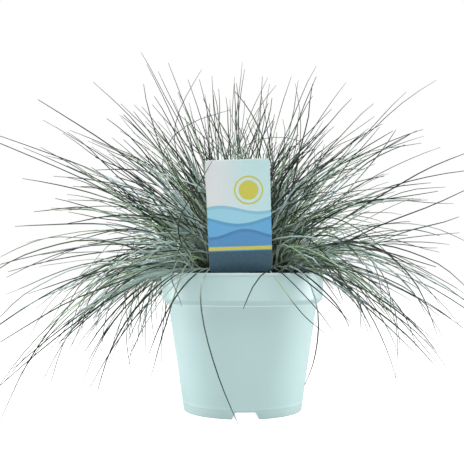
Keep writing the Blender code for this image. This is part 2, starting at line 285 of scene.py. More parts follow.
# %% [markdown]
# ## The pot
#
# A moulded pot is a lathe shape: a deep collar, a step, a tapered body and a foot. The CAD pot has
# 48 flat sides, so here the same profile is turned again with more sides and rounded edges. Three
# notches are cut in the foot and six holes in the base, as on the solid. A Boolean does that
# cleanly, and a bevel would be lost on so thin a wall, so the lip and the step are rounded in the
# profile itself.

# %% Pot: its sizes
POT_HEIGHT = 142 * MM
RIM_RADIUS = 85.5 * MM
COLLAR_FOOT_RADIUS = 84.3 * MM
COLLAR_FOOT_Z = 115 * MM
SHOULDER_RADIUS = 78 * MM
SHOULDER_Z = 110 * MM
FOOT_RADIUS = 61.5 * MM
WALL = 1.5 * MM
BASE_Z = 8 * MM
POT_SIDES = 144


def body_radius(z):
    """The pot's outer radius under its shoulder."""
    return FOOT_RADIUS + (SHOULDER_RADIUS - FOOT_RADIUS) * z / SHOULDER_Z


print("pot radius over the base in mm:", round(body_radius(BASE_Z) / MM, 1))


# %% Helpers for meshes: turned shapes
def arc(before, corner, after, radius, steps):
    """Points of a short arc of about that radius in place of a corner."""
    before, corner, after = Vector(before), Vector(corner), Vector(after)
    reach = min(radius, (corner - before).length * 0.45, (after - corner).length * 0.45)
    start = corner + (before - corner).normalized() * reach
    end = corner + (after - corner).normalized() * reach
    shares = [i / steps for i in range(steps + 1)]
    return [start * (1 - t) ** 2 + corner * 2 * t * (1 - t) + end * t**2 for t in shares]


def rounded(points, radius):
    """The same open line with its corners rounded."""
    line = [Vector(points[0])]
    for before, corner, after in zip(points, points[1:], points[2:]):
        line += arc(before, corner, after, radius, 4)
    return [*line, Vector(points[-1])]


def turned(profile, sides):
    """A closed solid of revolution about Z, from a profile that starts and ends on the axis.

    It is built ring by ring, because the spin tool may leave its faces in another order at each
    run, and what is scattered on the faces would then fall elsewhere.
    """
    bm = bmesh.new()
    rings = []
    for r, z in profile:
        turns = [math.tau * i / sides for i in range(sides)] if r > 0 else [0]
        rings.append([bm.verts.new((r * math.cos(a), r * math.sin(a), z)) for a in turns])
    for low, high in zip(rings, rings[1:]):
        for i in range(sides):
            corners = ((low, i), (low, i + 1), (high, i + 1), (high, i))
            around = [ring[j % len(ring)] for ring, j in corners]
            bm.faces.new(dict.fromkeys(around))
    bmesh.ops.recalc_face_normals(bm, faces=bm.faces)
    return bm


# %% Helpers for meshes: from a mesh to a piece
def add_object(name, bm, *finishes):
    mesh = bpy.data.meshes.new(name)
    bm.to_mesh(mesh)
    bm.free()
    for finish in finishes:
        mesh.materials.append(finish)
    return new_object(name, mesh)


def applied(thing, name):
    """The object with its modifiers made part of a plain mesh."""
    graph = bpy.context.evaluated_depsgraph_get()
    mesh = bpy.data.meshes.new_from_object(thing.evaluated_get(graph))
    bpy.data.objects.remove(thing)
    return new_object(name, mesh)


def add_modifier(thing, name, kind, **options):
    modifier = thing.modifiers.new(name, kind)
    for option, value in options.items():
        setattr(modifier, option, value)


def smooth(thing, sharp_degrees):
    """Smooth shading, but sharp edges over that angle."""
    thing.data.shade_smooth()
    thing.data.set_sharp_from_angle(angle=math.radians(sharp_degrees))


def triangles(thing):
    return sum(len(p.vertices) - 2 for p in thing.data.polygons)


def hand_over(thing, slot, *nodes):
    """Hands over a piece: hides the CAD nodes that it stands for, and attaches it to the root body.
    The slot is not used.
    """
    if nodes:
        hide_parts(*nodes)
    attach(thing, "root")
    print(thing.name, "triangles:", triangles(thing))


# %% [markdown]
# ## The pot's finish
#
# Aqua polypropylene isn't quite even. A pale line is painted along the step under the collar, and a
# fainter one along the raised line over the base: painted highlights where those edges catch the
# light. It has a fine orange-peel grain and a satin gloss. Close to the floor it is dusty, and a
# small dark round spot is painted shade for a dent that the mesh doesn't have. All of that is a
# matter of height and place, so masks on Object coordinates paint it, and no picture is needed.

# %% Pot: finish
POT_COLOUR = (0.475, 0.65, 0.65)
POT_PALER = tuple(c * 1.05 for c in POT_COLOUR)
POT_PAINTED_HIGHLIGHT = (0.70, 0.83, 0.825)
POT_DUST = (0.50, 0.62, 0.60)
POT_DENT_SHADE = (0.34, 0.47, 0.48)
CREASE_Z = SHOULDER_Z + 0.2 * MM
FOOT_LINE_Z = 9.6 * MM
DUST_TOP = 12 * MM
DENT_PLACE = (-56.7 * MM, -27.5 * MM, 9.5 * MM)

pot_finish, tree, shader = new_material("pale aqua moulded plastic", 0.4)
clouds = add_group(tree, patches, Size=0.045, Contrast=1.2)
colour = mixed(tree, clouds, POT_COLOUR, POT_PALER)
place = add(tree, "ShaderNodeTexCoord").outputs["Object"]
height = split(tree, place)[2]
# pale lines along the step under the collar and, fainter, along the raised line over the base:
# painted highlights where those edges catch the light
crease_highlight = band(tree, height, CREASE_Z, 0.8 * MM, 0.3 * MM)
foot_line_highlight = product(tree, band(tree, height, FOOT_LINE_Z, 1.0 * MM, 0.3 * MM), 0.2)
colour = mixed(tree, maths(tree, "MAXIMUM", crease_highlight, foot_line_highlight), colour, POT_PAINTED_HIGHLIGHT)
colour = mixed(tree, product(tree, between(tree, height, DUST_TOP, 0.0), 0.25), colour, POT_DUST)
# a small dark round spot low on the side: painted shade for a dent that the mesh doesn't have
from_dent = vector_maths(tree, "DISTANCE", place, DENT_PLACE).outputs["Value"]
dent_shade = product(tree, between(tree, from_dent, 2.4 * MM, 0.8 * MM), 0.5)
feed(tree, shader, "Base Color", mixed(tree, dent_shade, colour, POT_DENT_SHADE))
feed(tree, shader, "Roughness", maths(tree, "MULTIPLY_ADD", clouds, 0.12, 0.34))
add_bump(tree, shader, 0.9 * MM, 0.3, 0.25, 0.05 * MM)
print("finish:", pot_finish.name)

# %% Pot: turned body
EDGE_RADIUS = 0.6 * MM
BEAD_Z = POT_HEIGHT - 3 * MM
BEAD_STEP = 0.5 * MM
LINE_Z = BASE_Z + 1.2 * MM  # a raised line just over the base
INNER_BASE = BASE_Z + WALL

profile = [
    (0, BASE_Z),
    (body_radius(BASE_Z) - 2 * WALL, BASE_Z),
    (FOOT_RADIUS - 2 * WALL, 0),
    (FOOT_RADIUS, 0),
    (body_radius(BASE_Z), BASE_Z),
    (body_radius(BASE_Z) + 0.45 * MM, LINE_Z),
    (body_radius(BASE_Z + 4 * MM), BASE_Z + 4 * MM),
    (SHOULDER_RADIUS, SHOULDER_Z),
    (SHOULDER_RADIUS + 1.2 * MM, SHOULDER_Z + BEAD_STEP),
    (COLLAR_FOOT_RADIUS - 0.4 * MM, COLLAR_FOOT_Z - 0.5 * MM),
    (COLLAR_FOOT_RADIUS, COLLAR_FOOT_Z + 0.5 * MM),
    (COLLAR_FOOT_RADIUS + 0.03 * MM, COLLAR_FOOT_Z + 1.3 * MM),
    (RIM_RADIUS - BEAD_STEP, BEAD_Z),
    (RIM_RADIUS, BEAD_Z + BEAD_STEP),
    (RIM_RADIUS, POT_HEIGHT),
    (RIM_RADIUS - WALL - BEAD_STEP, POT_HEIGHT),
    (RIM_RADIUS - WALL - 2 * BEAD_STEP, BEAD_Z),
    (COLLAR_FOOT_RADIUS - WALL, COLLAR_FOOT_Z),
    (SHOULDER_RADIUS - WALL, SHOULDER_Z),
    (body_radius(INNER_BASE) - WALL, INNER_BASE),
    (0, INNER_BASE),
]
pot = add_object("moulded_pot", turned(rounded(profile, EDGE_RADIUS), POT_SIDES), pot_finish)
print("turned pot, triangles:", triangles(pot))

# %% Pot: cutters for the foot notches and drainage holes
NOTCHES = 3
NOTCH_TURN = math.radians(2.7)
NOTCH_HEIGHT = 7.2 * MM
NOTCH_FOOT_HALF = 13.5 * MM
NOTCH_TOP_HALF = 9.5 * MM
NOTCH_START = FOOT_RADIUS - 16 * MM  # from the axis
NOTCH_LENGTH = 30 * MM
HOLES = 6
HOLE_RADIUS = 4.5 * MM
HOLE_CIRCLE = 42 * MM

# a trapezoid with rounded upper corners, wider than the notch below the floor line
low_corner = (NOTCH_FOOT_HALF + 1 * MM, -2 * MM)
high_corner = (NOTCH_TOP_HALF, NOTCH_HEIGHT)
mirrored = [(-x, z) for x, z in (low_corner, high_corner)]
notch = rounded([*mirrored, high_corner, low_corner], 1.2 * MM)

cuts = bmesh.new()
for i in range(NOTCHES):
    turn = Matrix.Rotation(math.tau * i / NOTCHES + NOTCH_TURN, 3, "Z")
    corners = [cuts.verts.new(turn @ Vector((p.x, -NOTCH_START, p.y))) for p in notch]
    pushed = bmesh.ops.extrude_face_region(cuts, geom=[cuts.faces.new(corners)])["geom"]
    moved = [g for g in pushed if isinstance(g, bmesh.types.BMVert)]
    bmesh.ops.translate(cuts, verts=moved, vec=turn @ Vector((0, -NOTCH_LENGTH, 0)))
sizes = {"segments": 24, "radius1": HOLE_RADIUS, "radius2": HOLE_RADIUS, "depth": 4 * WALL}
for i in range(HOLES):
    angle = math.tau * (i + 0.5) / HOLES
    middle = (HOLE_CIRCLE * math.cos(angle), HOLE_CIRCLE * math.sin(angle), BASE_Z + WALL / 2)
    bmesh.ops.create_cone(cuts, cap_ends=True, matrix=Matrix.Translation(middle), **sizes)
bmesh.ops.recalc_face_normals(cuts, faces=cuts.faces)
cutters = add_object("pot_cutters", cuts)
print("cutters:", NOTCHES, "notches and", HOLES, "holes")

# %% Pot: cut and hand over
cutting = {"operation": "DIFFERENCE", "solver": "EXACT", "object": cutters}
add_modifier(pot, "notches and holes", "BOOLEAN", **cutting)
pot = applied(pot, "moulded_pot")
bpy.data.objects.remove(cutters)
smooth(pot, 40)
hand_over(pot, "pot", "pot")

# %% [markdown]
# ## The soil
#
# Potting soil is dark peat with shreds of bark and a few white grains of perlite. The body is
# turned, and noise raises and lowers its top. The bits on top could be placed by hand, but such
# crumbs always look sown in rows, so Geometry Nodes scatter copies of two small lumps.

# %% Soil: finish
SOIL_Z = 134 * MM

soil_finish, tree, shader = new_material("damp dark potting soil", 0.95, specular=0.2)
lumps = add_group(tree, patches, Size=0.006, Contrast=2.5)
wet = add_group(tree, patches, Size=0.03, Contrast=1.5)
colour = mixed(tree, lumps, (0.012, 0.009, 0.007), (0.055, 0.038, 0.026))
colour = mixed(tree, product(tree, wet, 0.4), colour, (0.02, 0.014, 0.010))
feed(tree, shader, "Base Color", colour)
feed(tree, shader, "Roughness", maths(tree, "MULTIPLY_ADD", wet, -0.25, 1.0))
add_bump(tree, shader, 1.5 * MM, 0.6, 0.9, 0.6 * MM)
print("finish:", soil_finish.name)

# %% Soil: turned body with a lumpy top
SOIL_ROOM = WALL + 0.7 * MM  # between the soil's edge and the pot's outer face
SOIL_EDGE = RIM_RADIUS - SOIL_ROOM - 2.6 * MM
SOIL_FOOT_Z = INNER_BASE + 0.3 * MM
SOIL_SIDES = 120
SOIL_RINGS = 26
LUMP_HEIGHT = 1.5 * MM

profile = [
    (0, SOIL_FOOT_Z),
    (body_radius(INNER_BASE) - SOIL_ROOM, SOIL_FOOT_Z),
    (SHOULDER_RADIUS - SOIL_ROOM, SHOULDER_Z),
    (COLLAR_FOOT_RADIUS - SOIL_ROOM, COLLAR_FOOT_Z),
    (SOIL_EDGE + 0.8 * MM, SOIL_Z - 2.5 * MM),
]
shares = [1 - i / SOIL_RINGS for i in range(SOIL_RINGS + 1)]
profile += [(SOIL_EDGE * share, SOIL_Z - 0.8 * MM) for share in shares]
soil_mesh = turned(profile, SOIL_SIDES)
for v in soil_mesh.verts:
    if v.co.z > SOIL_Z - 1 * MM:
        coarse = noise.noise(v.co / (14 * MM))
        small = noise.noise(v.co / (4.5 * MM) + Vector((7, 3, 1)))
        v.co.z += LUMP_HEIGHT * (0.6 * coarse + 0.55 * small)
soil = add_object("potting_soil_body", soil_mesh, soil_finish)
smooth(soil, 60)
print("soil triangles:", triangles(soil))

# %% [markdown]
# ## Scattering small shapes on a surface
#
# Crumbs on the soil and stubs on the crown are the same job: many copies of a small shape on the
# upward faces of a piece, each with its own turn and size. One Geometry Nodes tree does it for all,
# with the shape, the number per area and the sizes as inputs. It ends in real mesh, because an
# export drops instances.

# %% Geometry Nodes: scatter
UPWARD = 0.3  # the least upward part of a face's normal

scatter, given, result = new_tree(
    "scatter on a surface",
    "GeometryNodeTree",
    {
        "Geometry": "Geometry",
        "Shape": "Object",
        "Per square metre": 1000.0,
        "Lowest": 0.0,
        "Smallest": 0.5,
        "Largest": 1.0,
        "Tilt": 0.3,
        "Seed": 1,
        "Finish": "Material",
    },
    {"Geometry": "Geometry"},
)
facing = split(scatter, add(scatter, "GeometryNodeInputNormal"))[2]
height = split(scatter, add(scatter, "GeometryNodeInputPosition"))[2]
upward = maths(scatter, "GREATER_THAN", facing, UPWARD)
above = maths(scatter, "GREATER_THAN", height, given["Lowest"])
spots = add(
    scatter,
    "GeometryNodeDistributePointsOnFaces",
    {
        "Mesh": given["Geometry"],
        "Selection": product(scatter, upward, above),
        "Density": given["Per square metre"],
        "Seed": given["Seed"],
    },
)
print("scatter: faces chosen,", len(scatter.nodes), "nodes")

# %% Geometry Nodes: scatter, turn and size of each copy
tilt = given["Tilt"]
down = product(scatter, tilt, -1.0)
turns = {
    "Min": joined(scatter, down, down, -math.pi),
    "Max": joined(scatter, tilt, tilt, math.pi),
    "Seed": 3,
}
turn = add(scatter, "FunctionNodeRandomValue", turns, data_type="FLOAT_VECTOR")
turn = add(scatter, "FunctionNodeEulerToRotation", {"Euler": turn})
turn = {"Rotation": spots.outputs["Rotation"], "Rotate By": turn}
turn = add(scatter, "FunctionNodeRotateRotation", turn, rotation_space="LOCAL")
size = {"Min": given["Smallest"], "Max": given["Largest"], "Seed": 5}
size = add(scatter, "FunctionNodeRandomValue", size, data_type="FLOAT")
shape = add(scatter, "GeometryNodeObjectInfo", {"Object": given["Shape"]}).outputs["Geometry"]
copies = {"Points": spots.outputs["Points"], "Instance": shape, "Rotation": turn, "Scale": size}
copies = add(scatter, "GeometryNodeInstanceOnPoints", copies)
copies = add(scatter, "GeometryNodeRealizeInstances", {"Geometry": copies})
finished = {"Geometry": copies, "Material": given["Finish"]}
copies = add(scatter, "GeometryNodeSetMaterial", finished)
whole = add(scatter, "GeometryNodeJoinGeometry")
for part in (given["Geometry"], copies.outputs[0]):
    scatter.links.new(part, whole.inputs[0])
feed(scatter, result, "Geometry", whole)
print("scatter: whole tree,", len(scatter.nodes), "nodes")


# %% Helper: run a tree on an object and keep the plain mesh
def with_nodes(thing, tree, name, **values):
    """The object as its node tree makes it. Inputs are named with _ for a space."""
    modifier = thing.modifiers.new(tree.name, "NODES")
    modifier.node_group = tree
    sockets = [item for item in tree.interface.items_tree if item.item_type == "SOCKET"]
    identifiers = {s.name: s.identifier for s in sockets if s.in_out == "INPUT"}
    for socket_name, value in values.items():
        modifier[identifiers[socket_name.replace("_", " ")]] = value
    return applied(thing, name)


# %% Soil: bark crumbs and perlite grains
bark_finish = mottled(
    "shredded bark", 0.9, 0.2, patch=9 * MM, contrast=3.0,
    dark=(0.020, 0.013, 0.009), pale=(0.11, 0.07, 0.045), bump=(0.8 * MM, 0.2, 0.8, 0.3 * MM),
)
perlite_finish = mottled(
    "dusty white perlite", 0.85, 0.3, patch=4 * MM, contrast=2.0,
    dark=(0.32, 0.29, 0.25), pale=(0.62, 0.60, 0.56), bump=(0.6 * MM, 0.8, 0.8, 0.2 * MM),
)


def lump(name, radius, unevenness, shift, stretch):
    """A small uneven lump for scattering."""
    made = bmesh.new()
    bmesh.ops.create_icosphere(made, subdivisions=1, radius=radius)
    for v in made.verts:
        v.co *= 1 + unevenness * noise.noise(v.co / MM + Vector(shift))
        v.co = [length * times for length, times in zip(v.co, stretch)]
    return add_object(name, made)


crumb = lump("crumb", 2.0 * MM, 0.35, shift=(0, 0, 0), stretch=(1.5, 1, 0.55))
bead = lump("bead", 1.3 * MM, 0.25, shift=(5, 0, 0), stretch=(1, 1, 1))
SOIL_TOP = SOIL_Z - 3 * MM
soil = with_nodes(
    soil, scatter, "soil_with_bark",
    Shape=crumb, Per_square_metre=60000.0, Lowest=SOIL_TOP, Smallest=0.4, Largest=1.3, Tilt=0.4,
    Seed=11, Finish=bark_finish,
)
soil = with_nodes(
    soil, scatter, "soil_with_bark_and_perlite",
    Shape=bead, Per_square_metre=3500.0, Lowest=SOIL_TOP, Smallest=0.5, Largest=1.1, Tilt=1.0,
    Seed=12, Finish=perlite_finish,
)
hand_over(soil, "potting_soil", "potting_soil")

# %% [markdown]
# ## The crown
#
# Fescue grows from a low dome of old sheaths, dry and brown, that the new leaves push through, and
# close to it one sees short straw stubs. The dome and the stubs are coloured near black, darker
# than
# brown sheaths and straw: partly their own colour and partly painted shade for the dark between the
# leaves. The dome is turned and roughened, and the scatter tree plants the stubs on it.

# %% Crown: finishes
# both finishes are near black, darker than dry sheaths and straw: partly their own colour, partly
# painted shade for the core of the clump
crown_finish = mottled(
    "matted old sheaths darkened as painted shade", 0.95, 0.2, patch=4 * MM, contrast=2.5,
    dark=(0.012, 0.013, 0.009), pale=(0.05, 0.048, 0.03), bump=(1.6 * MM, 0.7, 0.9, 0.8 * MM),
)
stub_finish = mottled(
    "dry straw stubs darkened as painted shade", 0.8, 0.3, patch=12 * MM, contrast=3.0,
    dark=(0.012, 0.015, 0.009), pale=(0.07, 0.075, 0.04), bump=(0.7 * MM, 0.1, 0.7, 0.15 * MM),
)

# %% Crown: dome
CROWN_RADIUS = 58 * MM
CROWN_HEIGHT = 26 * MM
CROWN_SIDES = 72
CROWN_RINGS = 22

profile = [(0, 0), (CROWN_RADIUS, 0)]
for i in range(1, CROWN_RINGS + 1):
    radius = CROWN_RADIUS * (1 - i / CROWN_RINGS)
    profile.append((radius, CROWN_HEIGHT * (1 - (radius / CROWN_RADIUS) ** 2)))
dome = turned(profile, CROWN_SIDES)
for v in dome.verts:
    if v.co.z > 1 * MM:
        v.co *= 1 + 0.035 * noise.noise(v.co / (7 * MM))
bmesh.ops.translate(dome, verts=dome.verts, vec=(0, 0, SOIL_Z + 0.3 * MM))
crown = add_object("crown_dome", dome, crown_finish)
crown.data.shade_smooth()
print("dome triangles:", triangles(crown))

# %% Crown: stubs
STUB_LENGTH = 17 * MM
STUB_RADIUS = 1.3 * MM
STUB_TIP_RADIUS = STUB_RADIUS * 0.45
STUB_SUNK = 2 * MM

stub = bmesh.new()
sizes = {"radius1": STUB_RADIUS, "radius2": STUB_TIP_RADIUS, "depth": STUB_LENGTH}
middle = Matrix.Translation((0, 0, STUB_LENGTH / 2 - STUB_SUNK))
bmesh.ops.create_cone(stub, cap_ends=True, segments=5, matrix=middle, **sizes)
stub = add_object("stub", stub)
crown = with_nodes(
    crown, scatter, "crown_with_stubs",
    Shape=stub, Per_square_metre=80000.0, Lowest=SOIL_Z + 1 * MM, Smallest=0.35, Largest=1.3,
    Tilt=0.45, Seed=21, Finish=stub_finish,
)
hand_over(crown, "crown", "crown")
for shape_used in (crumb, bead, stub):
    bpy.data.objects.remove(shape_used)

# %% [markdown]
# ## The label
#
# A label is a thin plastic card printed on its front, on a plain stake that goes into the soil. It
# leans to the front. The outline is drawn once, given its thickness by Solidify and its soft edge
# by Bevel. The print is a pattern of the card's own UV map, so it stays on the card as it leans. It
# is a generic design: hills, a sun and a band, in the colours that such labels have.

# %% Label: its sizes and place
CARD_WIDTH = 60.6 * MM
CARD_HEIGHT = 110 * MM
CARD_CORNER = 4 * MM
CARD_THICKNESS = 0.7 * MM
STAKE_WIDTH = 16 * MM
STAKE_LENGTH = 66 * MM
STAKE_POINT = 16 * MM
STAKE_CORNER = 1.2 * MM
CARD_LEAN = math.radians(18)
CARD_ROLL = math.radians(-1.9)
CARD_FOOT = Vector((-1.2 * MM, -70 * MM, POT_HEIGHT + 0.8 * MM))
print("card's foot in mm:", in_mm(CARD_FOOT))

# %% Label: plain sky, hills and a band
# lengths on the card are shares of its width, so that a circle stays round
SKY_LEFT, SKY_RIGHT = (0.80, 0.84, 0.85), (0.58, 0.84, 0.86)
SUN_COLOUR = (0.66, 0.63, 0.07)
FOOT_COLOUR = (0.014, 0.085, 0.135)
EDGE = 0.012
HILLS = (  # the height of each hill's line, its swing, how close its waves are, their shift, colour
    (1.05, 0.055, 5.0, 0.6, (0.27, 0.58, 0.76)),
    (0.88, 0.075, 4.2, 2.6, (0.09, 0.36, 0.64)),
    (0.66, 0.060, 6.0, 4.4, (0.045, 0.24, 0.50)),
)
RIDGE = 0.05  # how far under its line a hill gets paler

card_front, tree, shader = new_material("printed plastic card", 0.4, specular=0.25)
across, up, _ = split(tree, add(tree, "ShaderNodeUVMap", uv_map="print"))
tall = product(tree, up, CARD_HEIGHT / CARD_WIDTH)


def hill(base, swing, waves, shift):
    """A mask for everything under a wavy line."""
    wave = maths(tree, "SINE", maths(tree, "MULTIPLY_ADD", across, waves, shift))
    line = maths(tree, "MULTIPLY_ADD", wave, swing, base)
    return between(tree, maths(tree, "SUBTRACT", line, tall), 0.0, EDGE)


def sun_mask(place, radius, ring_radius, ring_half):
    """A mask for a disc with a thin ring round it."""
    away = vector_maths(tree, "SUBTRACT", joined(tree, across, tall), place)
    distance = vector_maths(tree, "LENGTH", away).outputs["Value"]
    ring = band(tree, distance, ring_radius, ring_half, ring_half - EDGE)
    return maths(tree, "MAXIMUM", between(tree, distance, radius, radius - EDGE), ring)


colour = mixed(tree, between(tree, across, 0.1, 0.75), SKY_LEFT, SKY_RIGHT)
colour = mixed(tree, sun_mask((0.66, 1.33, 0.0), 0.16, 0.215, 0.02), colour, SUN_COLOUR)
for base, swing, waves, shift, shade in HILLS:
    colour = mixed(tree, hill(base, swing, waves, shift), colour, shade)
    paler = tuple(min(1.0, c * 1.5 + 0.05) for c in shade)
    under_ridge = product(tree, hill(base - RIDGE, swing, waves, shift), 0.35)
    colour = mixed(tree, under_ridge, colour, paler)
colour = mixed(tree, band(tree, tall, 0.40, 0.035, 0.035 - EDGE), colour, SUN_COLOUR)
colour = mixed(tree, between(tree, tall, 0.36, 0.36 - EDGE), colour, FOOT_COLOUR)
print("printed pattern:", len(tree.nodes), "nodes")

# %% Label: ink, gloss and the plain card
ink = add_group(tree, patches, Size=0.0015, Contrast=1.0)
colour = mixed(tree, product(tree, ink, 0.10), colour, (0.9, 0.9, 0.9))
feed(tree, shader, "Base Color", colour)
feed(tree, shader, "Roughness", maths(tree, "MULTIPLY_ADD", ink, 0.10, 0.27))
add_bump(tree, shader, 0.8 * MM, 0.2, 0.15, 0.02 * MM)
print("finish:", card_front.name)
card_plain = mottled(
    "white plastic card", 0.4, 0.5, patch=12 * MM, contrast=1.6,
    dark=(0.70, 0.72, 0.72), pale=(0.80, 0.82, 0.82), bump=(0.8 * MM, 0.2, 0.2, 0.02 * MM),
)

# %% Label: outline and UV map
half_card, half_stake = CARD_WIDTH / 2, STAKE_WIDTH / 2
right = [
    (half_stake, STAKE_POINT - STAKE_LENGTH),
    (half_stake, 0),
    (half_card, 0),
    (half_card, CARD_HEIGHT),
]
left = [(-x, z) for x, z in reversed(right)]
corners = [(0, -STAKE_LENGTH), *right, *left]
outline = []
for i, corner in enumerate(corners):
    radius = CARD_CORNER if abs(corner[0]) == half_card else STAKE_CORNER
    outline += arc(corners[i - 1], corner, corners[(i + 1) % len(corners)], radius, 6)
card = bmesh.new()
face = card.faces.new([card.verts.new((p.x, -CARD_THICKNESS / 2, p.y)) for p in outline])
face.normal_update()
if face.normal.y > 0:
    face.normal_flip()
uv_layer = card.loops.layers.uv.new("print")
for loop in face.loops:
    place = loop.vert.co
    loop[uv_layer].uv = (place.x / CARD_WIDTH + 0.5, place.z / CARD_HEIGHT)
label = add_object("label_card", card, card_front, card_plain)
print("card outline, points:", len(outline))

# %% Label: thickness, soft edge and place
# the back and the edge get the second finish, the plain card
plain = {"material_offset": 1, "material_offset_rim": 1}
add_modifier(label, "thickness", "SOLIDIFY", thickness=CARD_THICKNESS, offset=-1, **plain)
add_modifier(label, "soft edge", "BEVEL", width=0.18 * MM, segments=2, limit_method="ANGLE")
label = applied(label, "plant_label_card")
lean = Matrix.Rotation(CARD_LEAN, 4, "X") @ Matrix.Rotation(CARD_ROLL, 4, "Y")
label.data.transform(Matrix.Translation(CARD_FOOT) @ lean)
hand_over(label, "plant_label", "plant_label")
print("card and stake in mm:", in_mm(label.dimensions))

# %% [markdown]
# ## The leaves: guides from the solids
#
# The CAD model has 48 tillers of five leaves and six single leaves by the pot's front, in few-sided
# solid form. Their centre lines are the guides for the real leaves. A guide is found in the mesh by
# starting at a leaf's tip, the only kind of corner with three long edges, and stepping down ring by
# ring to the sheath.

# %% Read the guides
LONG_EDGE = 20 * MM
LEAF_RINGS = 4


def middle_of(corners):
    ordered = sorted(corners, key=lambda v: v.index)
    return sum((v.co for v in ordered), Vector()) / len(ordered)


def leaf_guides(node):
    """The centre line of every leaf of a CAD shoot, from the crown to the tip."""
    bm = bmesh.new()
    bm.from_mesh(node.data)
    bmesh.ops.remove_doubles(bm, verts=bm.verts, dist=0.001 * MM)
    bm.verts.index_update()
    tips = [v for v in bm.verts if min(e.calc_length() for e in v.link_edges) > LONG_EDGE]
    grown = set()
    lines = []
    for tip in tips:
        ring = {tip}
        seen = {tip}
        line = [tip.co.copy()]
        for _ in range(LEAF_RINGS + 1):
            ring = {e.other_vert(v) for v in ring for e in v.link_edges} - seen
            seen |= ring
            line.append(middle_of(ring))
        grown |= seen
        lines.append(line)
    foot = middle_of([v for v in bm.verts if v not in grown])
    bm.free()
    return [[foot, *reversed(line)] for line in lines]


shoots = {n: node for n, node in frame["nodes"].items() if "tiller" in n or "stray" in n}
guides = {name: leaf_guides(node) for name, node in shoots.items()}
print("guides:", sum(map(len, guides.values())), "points each:", len(guides["tiller_01"][0]))

# %% [markdown]
# ## The leaves: one tree that grows a lock round each guide
#
# A fescue leaf is rolled to a needle about a millimetre thick that thins out to nothing. Curves
# swept with a three-sided section are enough for it, because there are more than a thousand. Hair
# would be quicker to set up, but an export drops it, and a leaf of real mesh stays. The steps of
# the tree are:
#
# - smooth each guide and copy it many times,
# - move each copy's root on the crown, shorten it and fan it out, then bend it to its own side, let
#   it droop and give it a wave, each by its own chance,
# - take out each copy that would cut through the pot, the soil, the card or the floor, leave the
#   CAD model's box, rise over the clump's top, stand before the card or the pot's clear front, or
#   fill a gap that the real clump has,
# - sweep what is left, and keep each leaf's tone and the place along it for the finish.

# %% Leaf locks: what the tree is given
GUIDE_POINTS = 44
LEAF_POINTS = 14

locks, given, result = new_tree(
    "leaf locks",
    "GeometryNodeTree",
    {
        "Geometry": "Geometry",
        "Leaves per guide": 10,
        "Shortest": 0.6,
        "Rarity": 1.0,
        "Root scatter": 13 * MM,
        "Fan": 0.15,
        "Bend": 0.3,
        "Wave": 4 * MM,
        "Droop": 0.0,
        "Root radius": 0.8 * MM,
        "Tip radius": 0.3 * MM,
        "Darkest": 0.0,
        "Palest": 1.0,
        "Left gaps": 0.0,
        "Right gaps": 0.0,
        "Smoothing": 6,
        "Prune": True,
        "Seed": 1,
        "Finish": "Material",
    },
    {"Geometry": "Geometry"},
)
print("leaf locks, inputs:", len(given) - 1)

# %% Leaf locks: smooth the guides and copy them
line = add(locks, "GeometryNodeMeshToCurve", {"Mesh": given["Geometry"]})
line = add(locks, "GeometryNodeCurveSplineType", {"Curve": line}, spline_type="CATMULL_ROM")
line = add(locks, "GeometryNodeResampleCurve", {"Curve": line, "Count": GUIDE_POINTS})
knots = {"Value": add(locks, "GeometryNodeInputPosition"), "Iterations": given["Smoothing"]}
knots = add(locks, "GeometryNodeBlurAttribute", knots, data_type="FLOAT_VECTOR")
line = add(locks, "GeometryNodeSetPosition", {"Geometry": line, "Position": knots})
many = {"Geometry": line, "Amount": given["Leaves per guide"]}
many = add(locks, "GeometryNodeDuplicateElements", many, domain="SPLINE")

on_curve = add(locks, "GeometryNodeCurveOfPoint").outputs
leaf = on_curve["Curve Index"]
index = add(locks, "GeometryNodeInputIndex")
first = maths(locks, "SUBTRACT", index, on_curve["Index in Curve"])
position = add(locks, "GeometryNodeInputPosition")
root = {"Index": first, "Value": position}
root = add(locks, "GeometryNodeFieldAtIndex", root, data_type="FLOAT_VECTOR")
share = add(locks, "GeometryNodeSplineParameter").outputs["Factor"]
length = add(locks, "GeometryNodeSplineLength").outputs["Length"]


def chance(low, high, turn, data_type="FLOAT"):
    """A random number or vector for each leaf, the same at all its points."""
    seed = maths(locks, "ADD", given["Seed"], turn)
    inputs = {"Min": low, "Max": high, "ID": leaf, "Seed": seed}
    return add(locks, "FunctionNodeRandomValue", inputs, data_type=data_type)


def scaled_by(vector, factor):
    inputs = {"Vector": vector, "Scale": factor}
    return add(locks, "ShaderNodeVectorMath", inputs, operation="SCALE")


print("leaf locks: copies made,", len(locks.nodes), "nodes")

# %% Leaf locks: root, length and fan
BOTH_WAYS = ((-1.0, -1.0, -1.0), (1.0, 1.0, 1.0))
LONGEST = 1.06  # of the guide, because smoothing pulls its tip in
ROOT_DEPTH = 1.5 * MM  # under the dome's surface

shift = scaled_by(chance(*BOTH_WAYS, 1, "FLOAT_VECTOR"), given["Root scatter"])
root_x, root_y, _ = split(locks, vector_maths(locks, "ADD", root, shift))
fall = maths(locks, "DIVIDE", from_axis(locks, root_x, root_y), CROWN_RADIUS)
fall = maths(locks, "POWER", fall, 2.0)
dome_z = product(locks, maths(locks, "SUBTRACT", 1.0, fall, clamp=True), CROWN_HEIGHT)
root_z = maths(locks, "ADD", dome_z, SOIL_Z - ROOT_DEPTH)

